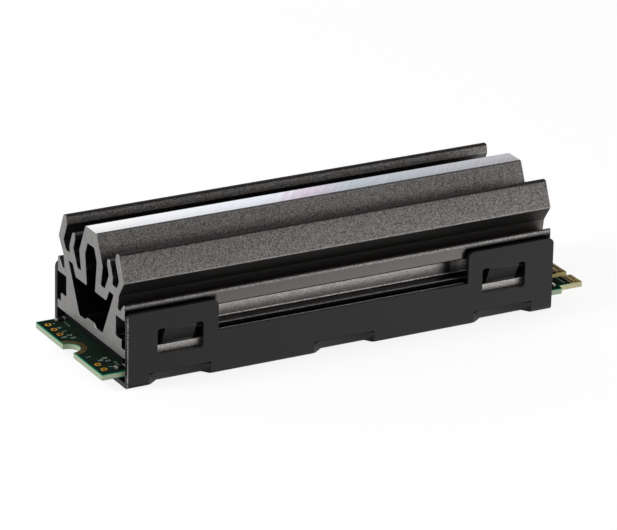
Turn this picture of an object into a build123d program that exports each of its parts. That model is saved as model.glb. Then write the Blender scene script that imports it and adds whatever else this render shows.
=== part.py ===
"""A solid state drive card under a finned heatsink, held together by a folded snap tray.

Millimetres. X runs from the screw end to the connector, Y across the card, Z up from the tray's
underside. The origin lies under the middle of the card.
"""
import os
from math import atan2, tan

from build123d import *

# Card: a bare circuit board with a plug-in tongue.
board_length = 80.0
board_width = 22.0
board_thickness = 0.8
board_corner = 0.3
tongue_length = 4.0
tongue_shoulder = 1.075
tongue_root_radius = 0.5
key_width = 1.2
key_depth = 3.5
key_offset = 6.125
screw_notch_radius = 1.75

# Copper and gold on the card.
foil = 0.05
contact_pitch = 0.5
contact_width = 0.35
contact_length = 1.8
contact_setback = 0.1
contact_margin = 0.3
ring_pullback = 0.1
ring_width = 0.9
hole_pad_radius = 0.5
hole_wall = 0.08
hole_bore_radius = 0.22
hole_row_inset = 1.25
hole_pitch = 2.0
far_hole_first = 5.25
far_hole_count = 3
near_hole_first = 7.1
near_hole_count = 2

# Heatsink and tray cover the card between these margins.
screw_end_margin = 3.55
connector_margin = 2.45

# Stack, from the tray's floor up.
sheet = 0.75
lower_pad_height = 1.05
package_height = 1.1
pad_squeezed = 0.7
pad_free = 1.15

# Tray: a folded sheet with four ears, windows with snap tabs, and inward steps under the card.
side_clearance = 0.1
fold_outer_radius = 0.55
fold_inner_radius = 0.1
ear_length = 14.45
ear_height = 11.35
ear_outer_corner = 0.9
ear_inner_corner = 0.95
rail_height = 6.57
clip_inset = 8.4
window_length = 7.3
window_sill = 0.08
window_corner = 0.5
tab_width = 5.0
tab_drop = 2.77
tab_root = 0.35
tab_tip = 0.2
tab_bend = 0.5
tab_clearance = 0.05
step_length = 7.7
step_inset = 0.44
step_lift = 0.43
step_rise = 0.13
step_slit = 0.25
step_ramp = 1.08
step_flare = 0.5
step_edge = 0.3
step_reach = 1.6
step_heel = 0.45

# Heatsink section, from the base's edge inward: each size starts from the feature named before it.
sink_clearance = 0.1
flange_height = 1.3
shoulder_inset = 1.12
shoulder_height = 1.29
slot_inset = 2.95
slot_height = 3.11
lip_clearance = 0.23
lip_tip = 0.4
lip_wall = 1.42
lip_height = 2.33
groove_floor_height = 1.07
groove_width = 0.83
waist_rise = 2.11
waist_lean = 0.35
fin_elbow_inset = 0.37
fin_elbow_rise = 2.4
fin_reach = 3.79
fin_lean = 1.63
fin_tip_width = 0.85
fin_bulge = 0.3
fin_bulge_drop = 1.27
fin_wall = 1.61
fin_bend_drop = 0.16
fin_foot_lean = 0.69
deck_rise = 0.96
outer_slot_width = 1.43
spur_bulge = 0.15
spur_elbow_rise = 1.11
spur_height = 3.46
spur_lean = 1.0
spur_tip_width = 0.75
spur_neck_drop = 0.8
spur_neck_flare = 0.1
spur_wall = 1.27
spur_bend_rise = 1.04
spur_foot_lean = 1.31
inner_slot_drop = 1.42
inner_slot_width = 1.27
crest_lean = 0.58
crest_elbow_rise = 1.61
crest_width = 3.6
crest_above_fins = 0.71
corner_round = 0.18
tip_round = 0.36

# The open core of the heatsink.
core_floor_height = 1.35
core_foot_width = 7.6
core_wall = 1.24
core_ledge = 1.45
shelf_height = 1.34
foot_height = 1.65
foot_lean = 0.98
channel_width = 2.7
channel_roof_width = 2.22
crest_wall = 1.87
crest_roof = 2.42
hump_foot_width = 3.9
hump_width = 2.12
hump_height = 0.57

# Thermal pads.
pad_end_inset = 0.45
upper_pad_width = 18.8
lower_pad_end_inset = 3.0
lower_pad_clearance = 0.3
pad_fit = 0.05

# Packages on the card: length along X, width along Y, height.
flash_length = 12.0
flash_width = 18.0
memory_length = 7.5
memory_width = 13.3
memory_height = 1.0
controller_length = 12.0
controller_width = 12.0
controller_height = 0.9
package_margin = 3.0
power_zone = 11.0
power_chip_side = 4.0
power_chip_height = 0.75
firmware_length = 5.0
firmware_width = 6.0
firmware_height = 0.8
inductor_length = 2.5
inductor_width = 2.0
inductor_height = 1.0
inductor_pitch = 3.0
crystal_length = 2.5
crystal_width = 2.0
crystal_height = 0.55
fuse_length = 1.6
fuse_width = 0.8
fuse_height = 0.45
part_spacing = 1.0
package_edge = 0.08

# Chip capacitors and resistors.
large_cap_length = 1.6
large_cap_width = 0.8
large_cap_height = 0.38
edge_cap_inset = 3.55
near_cap_edge = 1.0
far_cap_edge = 0.5
plug_cap_inset = 1.45
small_chip_length = 1.0
small_chip_width = 0.5
small_cap_height = 0.45
small_cap_pitch = 3.2
small_caps_per_row = 5
resistor_height = 0.35
resistor_pitch = 1.4
resistor_count = 4
terminal_length = 0.3
terminal_step = 0.03

# Places that follow from the values above.
screw_end = -board_length / 2
connector_end = board_length / 2
tongue_root = connector_end - tongue_length
tongue_width = board_width - 2 * tongue_shoulder
cover_start = screw_end + screw_end_margin
cover_end = tongue_root - connector_margin
cover_length = cover_end - cover_start
cover_middle = (cover_start + cover_end) / 2

board_bottom = sheet + lower_pad_height
board_top = board_bottom + board_thickness
sink_bottom = board_top + package_height + pad_squeezed
flange_top = sink_bottom + flange_height
pad_bottom = sink_bottom - pad_free

tray_inner = board_width / 2 + side_clearance
tray_outer = tray_inner + sheet
step_head = board_bottom + step_rise
step_lip = step_head - step_slit
step_wall = tray_outer - step_inset
step_floor_edge = step_wall - step_reach
base_half = tray_inner - sink_clearance
shoulder_half = base_half - shoulder_inset
clip_places = [cover_start + clip_inset, cover_end - clip_inset]
step_places = [clip_places[0], cover_middle, clip_places[1]]


def export(part, label):
    """Labels one finished piece and writes it under its node's name."""
    part.label = label
    export_step(part, f"parts/{label}.step")


def vertices_at(sketch, points):
    """The sketch's vertices at the given places, and at their mirror images across the middle."""
    found = []
    for along, up in points:
        for side in (along, -along):
            found += [v for v in sketch.vertices() if (Vector(v.X, v.Y) - Vector(side, up)).length < 1e-4]
    return found


def contact_rows(phase):
    """Places across the tongue of the contacts that stand clear of its edges and of the key."""
    reach = tongue_width / 2 - contact_margin - contact_width / 2
    key_reach = key_width / 2 + contact_margin + contact_width / 2
    steps = range(-round(tongue_width / contact_pitch), round(tongue_width / contact_pitch))
    places = [(step + phase) * contact_pitch for step in steps]
    return [y for y in places if abs(y) <= reach and abs(y + key_offset) >= key_reach]


def hole_places():
    """Centres of the plated holes, on both sides of the screw notch."""
    far = [far_hole_first + hole_pitch * step for step in range(far_hole_count)]
    near = [-near_hole_first - hole_pitch * step for step in range(near_hole_count)]
    return [(screw_end + hole_row_inset, y) for y in far + near]


os.makedirs("parts", exist_ok=True)

# The card, with its tongue, key, half-round screw notch and drilled holes.
with BuildPart() as circuit_board:
    with BuildSketch(Plane.XY.offset(board_bottom)) as board_outline:
        with Locations(((screw_end + tongue_root) / 2, 0)):
            Rectangle(tongue_root - screw_end, board_width)
        fillet(board_outline.vertices(), radius=board_corner)
        with Locations((tongue_root, 0)):
            Rectangle(2 * tongue_length, tongue_width)
        roots = board_outline.vertices().filter_by(
            lambda v: abs(v.X - tongue_root) < 1e-4 and abs(abs(v.Y) - tongue_width / 2) < 1e-4
        )
        fillet(roots, radius=tongue_root_radius)
        with Locations((connector_end - key_depth + key_width / 2, -key_offset)):
            Circle(key_width / 2, mode=Mode.SUBTRACT)
        with Locations((connector_end, -key_offset)):
            Rectangle(2 * key_depth - key_width, key_width, mode=Mode.SUBTRACT)
        with Locations((screw_end, 0)):
            Circle(screw_notch_radius, mode=Mode.SUBTRACT)
        with Locations(*hole_places()):
            Circle(hole_bore_radius + hole_wall, mode=Mode.SUBTRACT)
    extrude(amount=board_thickness)
export(circuit_board.part, "circuit_board")

# Edge contacts: the lower row is shifted by half a pitch.
contact_middle = connector_end - contact_setback - contact_length / 2
with BuildPart() as top_edge_contacts:
    with BuildSketch(Plane.XY.offset(board_top)):
        with Locations(*[(contact_middle, y) for y in contact_rows(0.5)]):
            Rectangle(contact_length, contact_width)
    extrude(amount=foil)
export(top_edge_contacts.part, "top_edge_contacts")

with BuildPart() as bottom_edge_contacts:
    with BuildSketch(Plane.XY.offset(board_bottom)):
        with Locations(*[(contact_middle, y) for y in contact_rows(0.0)]):
            Rectangle(contact_length, contact_width)
    extrude(amount=-foil)
export(bottom_edge_contacts.part, "bottom_edge_contacts")


def ground_ring(label, height, thickness):
    """The half ring of copper under the screw's head, on one side of the card."""
    inner = screw_notch_radius + ring_pullback
    outer = inner + ring_width
    with BuildPart() as ring:
        with BuildSketch(Plane.XY.offset(height)):
            with Locations((screw_end, 0)):
                Circle(outer)
                Circle(inner, mode=Mode.SUBTRACT)
            with Locations((screw_end + ring_pullback + outer / 2, 0)):
                Rectangle(outer, 2 * outer, mode=Mode.INTERSECT)
        extrude(amount=thickness)
    export(ring.part, label)


ground_ring("top_ground_ring", board_top, foil)
ground_ring("bottom_ground_ring", board_bottom, -foil)

# Plated holes: a barrel through the card with a pad on each side.
with BuildPart() as plated_holes:
    for height, depth, radius in (
        (board_bottom - foil, foil, hole_pad_radius),
        (board_bottom, board_thickness, hole_bore_radius + hole_wall),
        (board_top, foil, hole_pad_radius),
    ):
        with BuildSketch(Plane.XY.offset(height)):
            with Locations(*hole_places()):
                Circle(radius)
                Circle(hole_bore_radius, mode=Mode.SUBTRACT)
        extrude(amount=depth)
export(plated_holes.part, "plated_holes")

# Heatsink: one extruded section. Its outline runs from the underside up to the crest.
step_top = flange_top + shoulder_height
slot_half = base_half - slot_inset
slot_top = step_top + slot_height
lip_half = tray_inner - lip_clearance
lip_top = slot_top + lip_height
groove_floor = slot_top + groove_floor_height
groove_outer = lip_half - lip_wall
groove_inner = groove_outer - groove_width
waist_height = groove_floor + waist_rise

fin_elbow_half = base_half - fin_elbow_inset
fin_elbow_height = waist_height + fin_elbow_rise
fin_top = fin_elbow_height + fin_reach
fin_outer_tip = (fin_elbow_half - fin_lean, fin_top)
fin_inner_tip = (fin_elbow_half - fin_lean - fin_tip_width, fin_top)
fin_bend_half = fin_elbow_half - fin_wall

deck_height = waist_height + deck_rise
outer_slot_outer = fin_bend_half - fin_foot_lean
outer_slot_inner = outer_slot_outer - outer_slot_width
spur_elbow_half = outer_slot_inner + spur_bulge
spur_top = deck_height + spur_height
spur_outer_tip = (spur_elbow_half - spur_lean, spur_top)
spur_inner_tip = (spur_elbow_half - spur_lean - spur_tip_width, spur_top)
spur_bend_half = spur_elbow_half - spur_wall

inner_slot_floor = deck_height - inner_slot_drop
inner_slot_outer = spur_bend_half - spur_foot_lean
inner_slot_inner = inner_slot_outer - inner_slot_width
crest_elbow = (inner_slot_inner + crest_lean, deck_height + crest_elbow_rise)
crest_top = fin_top + crest_above_fins
crest_corner = (crest_width / 2, crest_top)
outer_half = [
    (0, sink_bottom),
    (base_half, sink_bottom),
    (base_half, flange_top),
    (shoulder_half, flange_top),
    (shoulder_half, step_top),
    (slot_half, step_top),
    (slot_half, slot_top),
    (lip_half, slot_top),
    (lip_half, lip_top),
    (lip_half - lip_tip, lip_top),
    (groove_outer, groove_floor),
    (groove_inner, groove_floor),
    (groove_inner + waist_lean, waist_height),
    (fin_elbow_half, fin_elbow_height),
    fin_outer_tip,
    fin_inner_tip,
    (fin_inner_tip[0] - fin_bulge, fin_top - fin_bulge_drop),
    (fin_bend_half, fin_elbow_height - fin_bend_drop),
    (outer_slot_outer, deck_height),
    (outer_slot_inner, deck_height),
    (spur_elbow_half, deck_height + spur_elbow_rise),
    spur_outer_tip,
    spur_inner_tip,
    (spur_inner_tip[0] - spur_neck_flare, spur_top - spur_neck_drop),
    (spur_bend_half, deck_height + spur_bend_rise),
    (inner_slot_outer, inner_slot_floor),
    (inner_slot_inner, inner_slot_floor),
    crest_elbow,
    crest_corner,
    (0, crest_top),
]
tips = [fin_outer_tip, fin_inner_tip, spur_outer_tip, spur_inner_tip, crest_corner]

# The open core: a wedge-shaped duct under the fins, joined to the slot inside the crest.
core_floor = sink_bottom + core_floor_height
core_top = deck_height - shelf_height
core_half_width = groove_inner - core_wall
foot_bottom = inner_slot_floor - foot_height
core_half = [
    (0, core_floor + hump_height),
    (hump_width / 2, core_floor + hump_height),
    (hump_foot_width / 2, core_floor),
    (core_foot_width / 2, core_floor),
    (core_half_width, core_top),
    (core_half_width - core_ledge, core_top),
    (core_half_width - core_ledge - foot_lean, foot_bottom),
    (channel_width / 2, foot_bottom),
    (crest_elbow[0] - crest_wall, crest_elbow[1]),
    (channel_roof_width / 2, crest_top - crest_roof),
    (0, crest_top - crest_roof),
]

with BuildPart() as heatsink:
    with BuildSketch(Plane.YZ.offset(cover_start)):
        with BuildSketch() as body_section:
            with BuildLine():
                Polyline(*outer_half)
                mirror(about=Plane.YZ)
            make_face()
            fillet(vertices_at(body_section, tips), radius=tip_round)
            bends = [point for point in outer_half[1:-1] if point not in tips]
            fillet(vertices_at(body_section, bends), radius=corner_round)
        with BuildSketch(mode=Mode.SUBTRACT) as core_section:
            with BuildLine():
                Polyline(*core_half)
                mirror(about=Plane.YZ)
            make_face()
            fillet(vertices_at(core_section, core_half[1:-1]), radius=corner_round)
    extrude(amount=cover_length)
export(heatsink.part, "heatsink")

# Tray: a folded channel, trimmed to its side view, then given inward steps and snap tabs.
window_bottom = sink_bottom + window_sill
window_top = flange_top + tab_drop


def channel_section(half, floor, corner):
    """A section as high as the ears, with rounded lower corners."""
    with BuildSketch() as section:
        with Locations((0, floor + ear_height / 2)):
            Rectangle(2 * half, ear_height)
        fillet(section.vertices().group_by(Axis.Y)[0], radius=corner)
    return section.sketch


def raised_floor(base, thickness, inner_edge, outer_edge, shift):
    """Layers across all steps on both sides, even over each step's length and ramped at its ends."""
    half = step_length / 2 + shift
    end = half + step_ramp + step_flare
    rise = [(-end, 0), (-half, step_lift), (half, step_lift), (end, 0)]
    with BuildPart() as layers:
        with BuildSketch(Plane.XZ.offset(inner_edge)):
            with Locations(*[(x, base) for x in step_places]):
                Polygon(*rise, (end, -thickness), (-end, -thickness), align=None)
        extrude(amount=outer_edge - inner_edge)
        mirror(about=Plane.XZ)
    return layers.part


rise_shift = sheet * tan(atan2(step_lift, step_ramp + step_flare) / 2)
inner_rise = raised_floor(sheet, sheet / 2, step_floor_edge - step_heel, tray_inner + sheet / 2, rise_shift)
outer_rise = raised_floor(0, sheet, step_floor_edge, tray_outer, 0)
with BuildPart() as retaining_tray:
    with BuildSketch(Plane.YZ.offset(cover_start)):
        add(channel_section(tray_outer, 0, fold_outer_radius))
        add(channel_section(tray_inner, sheet, fold_inner_radius), mode=Mode.SUBTRACT)
    extrude(amount=cover_length)

    with BuildSketch(Plane.XZ) as side_view:
        with Locations((cover_middle, ear_height / 2)):
            Rectangle(cover_length, ear_height)
        fillet(side_view.vertices().group_by(Axis.Y)[-1], radius=ear_outer_corner)
        with Locations((cover_middle, rail_height + ear_height / 2)):
            Rectangle(cover_length - 2 * ear_length, ear_height, mode=Mode.SUBTRACT)
        fillet(
            side_view.vertices().group_by(Axis.Y)[-1].sort_by(Axis.X)[1:-1],
            radius=ear_inner_corner,
        )
        with Locations(*[(x, (window_bottom + window_top) / 2) for x in clip_places]):
            RectangleRounded(window_length, window_top - window_bottom, window_corner, mode=Mode.SUBTRACT)
    extrude(amount=2 * tray_outer, both=True, mode=Mode.INTERSECT)

    # The steps: under slits in the walls the fold is pushed inward and up, to just below the card's edges.
    step_half = step_length / 2
    ramp_end = step_half + step_ramp
    step_shift = sheet * tan(atan2(step_inset, step_ramp) / 2)
    outer_line = [
        (-ramp_end, tray_outer),
        (-step_half, step_wall),
        (step_half, step_wall),
        (ramp_end, tray_outer),
    ]
    inner_line = [
        (ramp_end + step_shift, tray_inner),
        (step_half + step_shift, tray_inner - step_inset),
        (-step_half - step_shift, tray_inner - step_inset),
        (-ramp_end - step_shift, tray_inner),
    ]
    outside = [(ramp_end, tray_outer + sheet), (-ramp_end, tray_outer + sheet)]
    with BuildSketch(Plane.XY.offset(sheet / 2)):
        with Locations(*[(x, 0) for x in step_places]):
            Polygon(*outer_line, *inner_line, align=None)
        mirror(about=Plane.XZ)
    extrude(amount=step_lip - sheet / 2)
    add(inner_rise)
    with BuildSketch(Plane.XY.offset(step_lip)):
        with Locations(*[(x, tray_inner + sheet / 2) for x in step_places]):
            Rectangle(2 * ramp_end, sheet)
        mirror(about=Plane.XZ)
    extrude(amount=step_slit, mode=Mode.SUBTRACT)
    with BuildSketch(Plane.XY):
        with Locations(*[(x, 0) for x in step_places]):
            Polygon(*outer_line, *outside, align=None)
        mirror(about=Plane.XZ)
    extrude(amount=step_head, mode=Mode.SUBTRACT)
    add(outer_rise, mode=Mode.SUBTRACT)
    step_feet = retaining_tray.edges().filter_by(Axis.X).filter_by(
        lambda e: abs(e.center().Z - step_lift) < 1e-4 and abs(abs(e.center().Y) - step_wall) < 1e-4
    )
    chamfer(step_feet, length=step_edge)

    # The snap tabs bend inward and down from each window's top, and press on the base's flange.
    tab_inset = tray_inner - shoulder_half - corner_round - tab_clearance
    lean_top = window_top - tab_root
    lean_bottom = flange_top + tab_tip
    kink = sheet * tan(atan2(tab_inset, lean_top - lean_bottom) / 2)
    tab_kinks = [
        (tray_outer, lean_top),
        (tray_outer - tab_inset, lean_bottom),
        (tray_inner - tab_inset, lean_bottom + kink),
        (tray_inner, lean_top + kink),
    ]
    tab_line = [
        (tray_outer, window_top + sheet),
        *tab_kinks[:2],
        (tray_outer - tab_inset, flange_top),
        (tray_inner - tab_inset, flange_top),
        *tab_kinks[2:],
        (tray_inner, window_top + sheet),
    ]
    for place in clip_places:
        with BuildSketch(Plane.YZ.offset(place - tab_width / 2)) as tab_section:
            Polygon(*tab_line, align=None)
            fillet(vertices_at(tab_section, tab_kinks), radius=tab_bend)
            mirror(about=Plane.YZ)
        extrude(amount=tab_width)
export(retaining_tray.part, "retaining_tray")

# Packages stand in a row from the screw end, and the power parts beside the connector.
row_lengths = [flash_length, flash_length, memory_length, controller_length]
package_gap = (cover_length - package_margin - power_zone - sum(row_lengths)) / len(row_lengths)
rear_flash_x = cover_start + package_margin + flash_length / 2
front_flash_x = rear_flash_x + flash_length + package_gap
memory_x = front_flash_x + (flash_length + memory_length) / 2 + package_gap
controller_x = memory_x + (memory_length + controller_length) / 2 + package_gap
power_start = cover_end - power_zone
inductor_x = power_start + inductor_length / 2
power_column = power_start + inductor_length + part_spacing
power_chip_x = power_column + power_chip_side / 2
power_chip_y = part_spacing + power_chip_side / 2
firmware_x = power_column + firmware_length / 2
firmware_y = -part_spacing - firmware_width / 2
crystal_x = power_column + crystal_length / 2
crystal_y = power_chip_y + power_chip_side / 2 + part_spacing + crystal_width / 2
small_column = power_column + firmware_length + part_spacing
fuse_x = small_column + fuse_length / 2
inductor_places = [(inductor_x, inductor_pitch * step) for step in (-1, 0, 1)]

packages = {
    "rear_flash_package": ([(rear_flash_x, 0)], flash_length, flash_width, package_height),
    "front_flash_package": ([(front_flash_x, 0)], flash_length, flash_width, package_height),
    "memory_chip": ([(memory_x, 0)], memory_length, memory_width, memory_height),
    "controller_chip": ([(controller_x, 0)], controller_length, controller_width, controller_height),
    "power_chip": ([(power_chip_x, power_chip_y)], power_chip_side, power_chip_side, power_chip_height),
    "firmware_chip": ([(firmware_x, firmware_y)], firmware_length, firmware_width, firmware_height),
    "power_inductors": (inductor_places, inductor_length, inductor_width, inductor_height),
    "clock_crystal": ([(crystal_x, crystal_y)], crystal_length, crystal_width, crystal_height),
    "input_fuse": ([(fuse_x, power_chip_y)], fuse_length, fuse_width, fuse_height),
}
for label, (places, length, width, height) in packages.items():
    with BuildPart() as package:
        with BuildSketch(Plane.XY.offset(board_top)):
            with Locations(*places):
                Rectangle(length, width)
        extrude(amount=height)
        chamfer(package.edges().group_by(Axis.Z)[-1], length=package_edge)
    export(package.part, label)


def chip_parts(label, places, size, across=False):
    """A group of chip parts: each a body between two slightly larger metal ends."""
    length, width, height = size
    turn = 90 if across else 0
    with BuildPart() as chips:
        with BuildSketch(Plane.XY.offset(board_top)):
            with Locations(*[Location((x, y), (0, 0, turn)) for x, y in places]):
                Rectangle(length, width - 2 * terminal_step)
        extrude(amount=height - terminal_step)
        with BuildSketch(Plane.XY.offset(board_top)):
            with Locations(*[Location((x, y), (0, 0, turn)) for x, y in places]):
                with GridLocations(length - terminal_length, 0, 2, 1):
                    Rectangle(terminal_length, width)
        extrude(amount=height)
    export(chips.part, label)


near_cap_side = (board_width - large_cap_width) / 2 - near_cap_edge
far_cap_side = (board_width - large_cap_width) / 2 - far_cap_edge
large_cap_places = [
    (screw_end + edge_cap_inset, -near_cap_side),
    (screw_end + edge_cap_inset, far_cap_side),
    (tongue_root - plug_cap_inset, -near_cap_side),
    (fuse_x, power_chip_y + part_spacing + fuse_width),
]
chip_parts("bulk_capacitors", large_cap_places, (large_cap_length, large_cap_width, large_cap_height))

gap_places = [
    rear_flash_x + (flash_length + package_gap) / 2,
    front_flash_x + (flash_length + package_gap) / 2,
    memory_x + (memory_length + package_gap) / 2,
    controller_x + (controller_length + package_gap) / 2,
]
row_middle = (small_caps_per_row - 1) / 2
small_cap_places = [
    (x, small_cap_pitch * (step - row_middle)) for x in gap_places for step in range(small_caps_per_row)
]
small_size = (small_chip_length, small_chip_width, small_cap_height)
chip_parts("bypass_capacitors", small_cap_places, small_size, across=True)

resistor_x = small_column + small_chip_length / 2
resistor_places = [(resistor_x, -part_spacing - resistor_pitch * step) for step in range(resistor_count)]
chip_parts("chip_resistors", resistor_places, (small_chip_length, small_chip_width, resistor_height))

# Upper pad: pressed down over the packages, so that it has a pocket for each that reaches into it.
upper_pad_length = cover_length - 2 * pad_end_inset
with BuildPart() as upper_thermal_pad:
    with BuildSketch(Plane.XY.offset(pad_bottom)):
        with Locations((cover_middle, 0)):
            Rectangle(upper_pad_length, upper_pad_width)
    extrude(amount=pad_free)
    for places, length, width, height in packages.values():
        if board_top + height > pad_bottom:
            with BuildSketch(Plane.XY.offset(board_top)):
                with Locations(*places):
                    Rectangle(length + 2 * pad_fit, width + 2 * pad_fit)
            extrude(amount=height, mode=Mode.SUBTRACT)
export(upper_thermal_pad.part, "upper_thermal_pad")

# Lower pad: between the tray's floor and the card, clear of the steps.
lower_pad_half = step_floor_edge - step_heel - lower_pad_clearance
with BuildPart() as lower_thermal_pad:
    with BuildSketch(Plane.XY.offset(sheet)):
        with Locations((cover_middle, 0)):
            Rectangle(cover_length - 2 * lower_pad_end_inset, 2 * lower_pad_half)
    extrude(amount=lower_pad_height)
export(lower_thermal_pad.part, "lower_thermal_pad")
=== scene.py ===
from math import radians

import bmesh
import bpy
import numpy as np
from mathutils import Matrix, Vector


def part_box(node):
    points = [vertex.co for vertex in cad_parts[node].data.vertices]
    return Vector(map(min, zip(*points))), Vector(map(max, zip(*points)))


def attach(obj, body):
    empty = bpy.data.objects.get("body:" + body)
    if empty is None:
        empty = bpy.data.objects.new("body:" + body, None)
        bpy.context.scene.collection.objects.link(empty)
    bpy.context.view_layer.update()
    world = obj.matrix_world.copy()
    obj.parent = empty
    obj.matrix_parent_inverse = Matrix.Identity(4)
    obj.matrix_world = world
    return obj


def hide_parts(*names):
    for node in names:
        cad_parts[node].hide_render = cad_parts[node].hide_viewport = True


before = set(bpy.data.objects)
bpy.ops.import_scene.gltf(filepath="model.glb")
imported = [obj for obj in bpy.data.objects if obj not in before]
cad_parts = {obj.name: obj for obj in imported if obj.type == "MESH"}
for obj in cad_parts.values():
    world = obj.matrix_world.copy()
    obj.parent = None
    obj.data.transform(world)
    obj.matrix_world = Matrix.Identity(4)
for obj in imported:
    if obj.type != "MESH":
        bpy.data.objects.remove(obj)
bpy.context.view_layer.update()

mm = 0.001
print("frame loaded with", len(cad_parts), "nodes")

# camera

cameraView = {
    "azimuth": -28.88,       # degrees round the object, from straight ahead
    "elevation": 21.59,
    "roll": 1.185,
    "distance": 665.27,      # millimetres from the aim point
    "aim": (0.0, 0.117, 10.6),
    "aside": -0.94,          # how far the camera stands off the line through the aim point
    "above": -1.94,
    "focalPixels": 4551.8,
    "picture": (617, 530),
    "sensor": 36.0,
}


def placeCamera(view):
    azimuth, elevation, roll = (radians(view[key]) for key in ("azimuth", "elevation", "roll"))
    back = Vector((np.sin(azimuth) * np.cos(elevation), -np.cos(azimuth) * np.cos(elevation), np.sin(elevation)))
    right = Vector((0, 0, 1)).cross(back).normalized()
    up = back.cross(right)
    rolledRight = right * np.cos(roll) + up * np.sin(roll)
    rolledUp = up * np.cos(roll) - right * np.sin(roll)
    place = Vector(view["aim"]) + rolledRight * view["aside"] + rolledUp * view["above"] + back * view["distance"]
    data = bpy.data.cameras.new("camera")
    data.sensor_fit = "HORIZONTAL"
    data.sensor_width = view["sensor"]
    data.lens = view["focalPixels"] * view["sensor"] / view["picture"][0]
    data.clip_start, data.clip_end = 0.01, 20
    camera = bpy.data.objects.new("camera", data)
    axes = Matrix((rolledRight, rolledUp, back)).transposed().to_4x4()
    camera.matrix_world = Matrix.Translation(place * mm) @ axes
    bpy.context.scene.collection.objects.link(camera)
    bpy.context.scene.camera = camera


placeCamera(cameraView)
print("camera placed")

# shader helpers


class Wire:
    # a socket that takes part in plain sums, so that a mask reads like its formula
    def __init__(self, tree, socket):
        self.tree, self.socket = tree, socket

    def join(self, operation, *others):
        node = self.tree.nodes.new("ShaderNodeMath")
        node.operation = operation
        for slotNumber, value in enumerate((self, *others)):
            plug(self.tree, value, node.inputs[slotNumber])
        return Wire(self.tree, node.outputs[0])

    def __add__(self, other):
        return self.join("ADD", other)

    def __sub__(self, other):
        return self.join("SUBTRACT", other)

    def __mul__(self, other):
        return self.join("MULTIPLY", other)

    def __abs__(self):
        return self.join("ABSOLUTE")

    def most(self, other):
        return self.join("MAXIMUM", other)

    def flip(self):
        return self.join("MULTIPLY_ADD", -1.0, 1.0)

    def between(self, low, high):
        # 0 below low, 1 above high, a smooth step from one to the other
        node = self.tree.nodes.new("ShaderNodeMapRange")
        node.interpolation_type = "SMOOTHSTEP"
        plug(self.tree, self, node.inputs["Value"])
        node.inputs["From Min"].default_value, node.inputs["From Max"].default_value = low, high
        return Wire(self.tree, node.outputs["Result"])


def plug(tree, value, socket):
    if isinstance(value, Wire):
        tree.links.new(value.socket, socket)
    else:
        socket.default_value = value


def startMaterial(name, **sockets):
    # a Principled material; a number or colour that is even over the surface goes straight on its socket
    material = bpy.data.materials.new(name)
    material.use_nodes = True
    shader = material.node_tree.nodes["Principled BSDF"]
    for key, value in sockets.items():
        shader.inputs[key.replace("_", " ")].default_value = value
    return material, material.node_tree, shader


def millimetres(tree):
    # the place on the object in millimetres, as a vector and as its three parts
    place = tree.nodes.new("ShaderNodeTexCoord")
    scale = tree.nodes.new("ShaderNodeVectorMath")
    scale.operation = "SCALE"
    scale.inputs["Scale"].default_value = 1000
    tree.links.new(place.outputs["Object"], scale.inputs[0])
    parts = tree.nodes.new("ShaderNodeSeparateXYZ")
    tree.links.new(scale.outputs[0], parts.inputs[0])
    return Wire(tree, scale.outputs[0]), [Wire(tree, parts.outputs[key]) for key in "XYZ"]


def attribute(tree, name):
    node = tree.nodes.new("ShaderNodeAttribute")
    node.attribute_name = name
    parts = tree.nodes.new("ShaderNodeSeparateXYZ")
    tree.links.new(node.outputs["Vector"], parts.inputs[0])
    return [Wire(tree, parts.outputs[key]) for key in "XYZ"]


def stretched(tree, vector, factors):
    node = tree.nodes.new("ShaderNodeVectorMath")
    node.operation = "MULTIPLY"
    plug(tree, vector, node.inputs[0])
    node.inputs[1].default_value = factors
    return Wire(tree, node.outputs[0])


def turnedBy(tree, vector, axis, angle):
    node = tree.nodes.new("ShaderNodeVectorRotate")
    node.rotation_type = axis
    node.inputs["Angle"].default_value = radians(angle)
    plug(tree, vector, node.inputs["Vector"])
    return Wire(tree, node.outputs[0])


def noise(tree, vector, scale, detail=2.0, roughness=0.5):
    node = tree.nodes.new("ShaderNodeTexNoise")
    plug(tree, vector, node.inputs["Vector"])
    node.inputs["Scale"].default_value = scale
    node.inputs["Detail"].default_value = detail
    node.inputs["Roughness"].default_value = roughness
    return Wire(tree, node.outputs["Fac"])


def mixColour(tree, share, first, second):
    node = tree.nodes.new("ShaderNodeMix")
    node.data_type = "RGBA"
    plug(tree, share, node.inputs["Factor"])
    for value, key in ((first, "A"), (second, "B")):
        socket = [s for s in node.inputs if s.name == key and s.type == "RGBA"][0]
        plug(tree, value if isinstance(value, Wire) else (*value, 1.0)[:4], socket)
    return Wire(tree, [s for s in node.outputs if s.type == "RGBA"][0])


def mixValue(tree, share, first, second):
    node = tree.nodes.new("ShaderNodeMix")
    plug(tree, share, node.inputs["Factor"])
    plug(tree, first, node.inputs[2])
    plug(tree, second, node.inputs[3])
    return Wire(tree, node.outputs[0])


def ramp(tree, share, stops):
    node = tree.nodes.new("ShaderNodeValToRGB")
    plug(tree, share, node.inputs["Fac"])
    while len(node.color_ramp.elements) < len(stops):
        node.color_ramp.elements.new(0.5)
    for element, (place, colour) in zip(node.color_ramp.elements, stops):
        element.position = place
        element.color = (*colour, 1.0)
    return Wire(tree, node.outputs["Color"])


def addBump(tree, shader, height, depth, strength=1.0):
    node = tree.nodes.new("ShaderNodeBump")
    node.inputs["Strength"].default_value = strength
    node.inputs["Distance"].default_value = depth * mm
    plug(tree, height, node.inputs["Height"])
    tree.links.new(node.outputs["Normal"], shader.inputs["Normal"])


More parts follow.
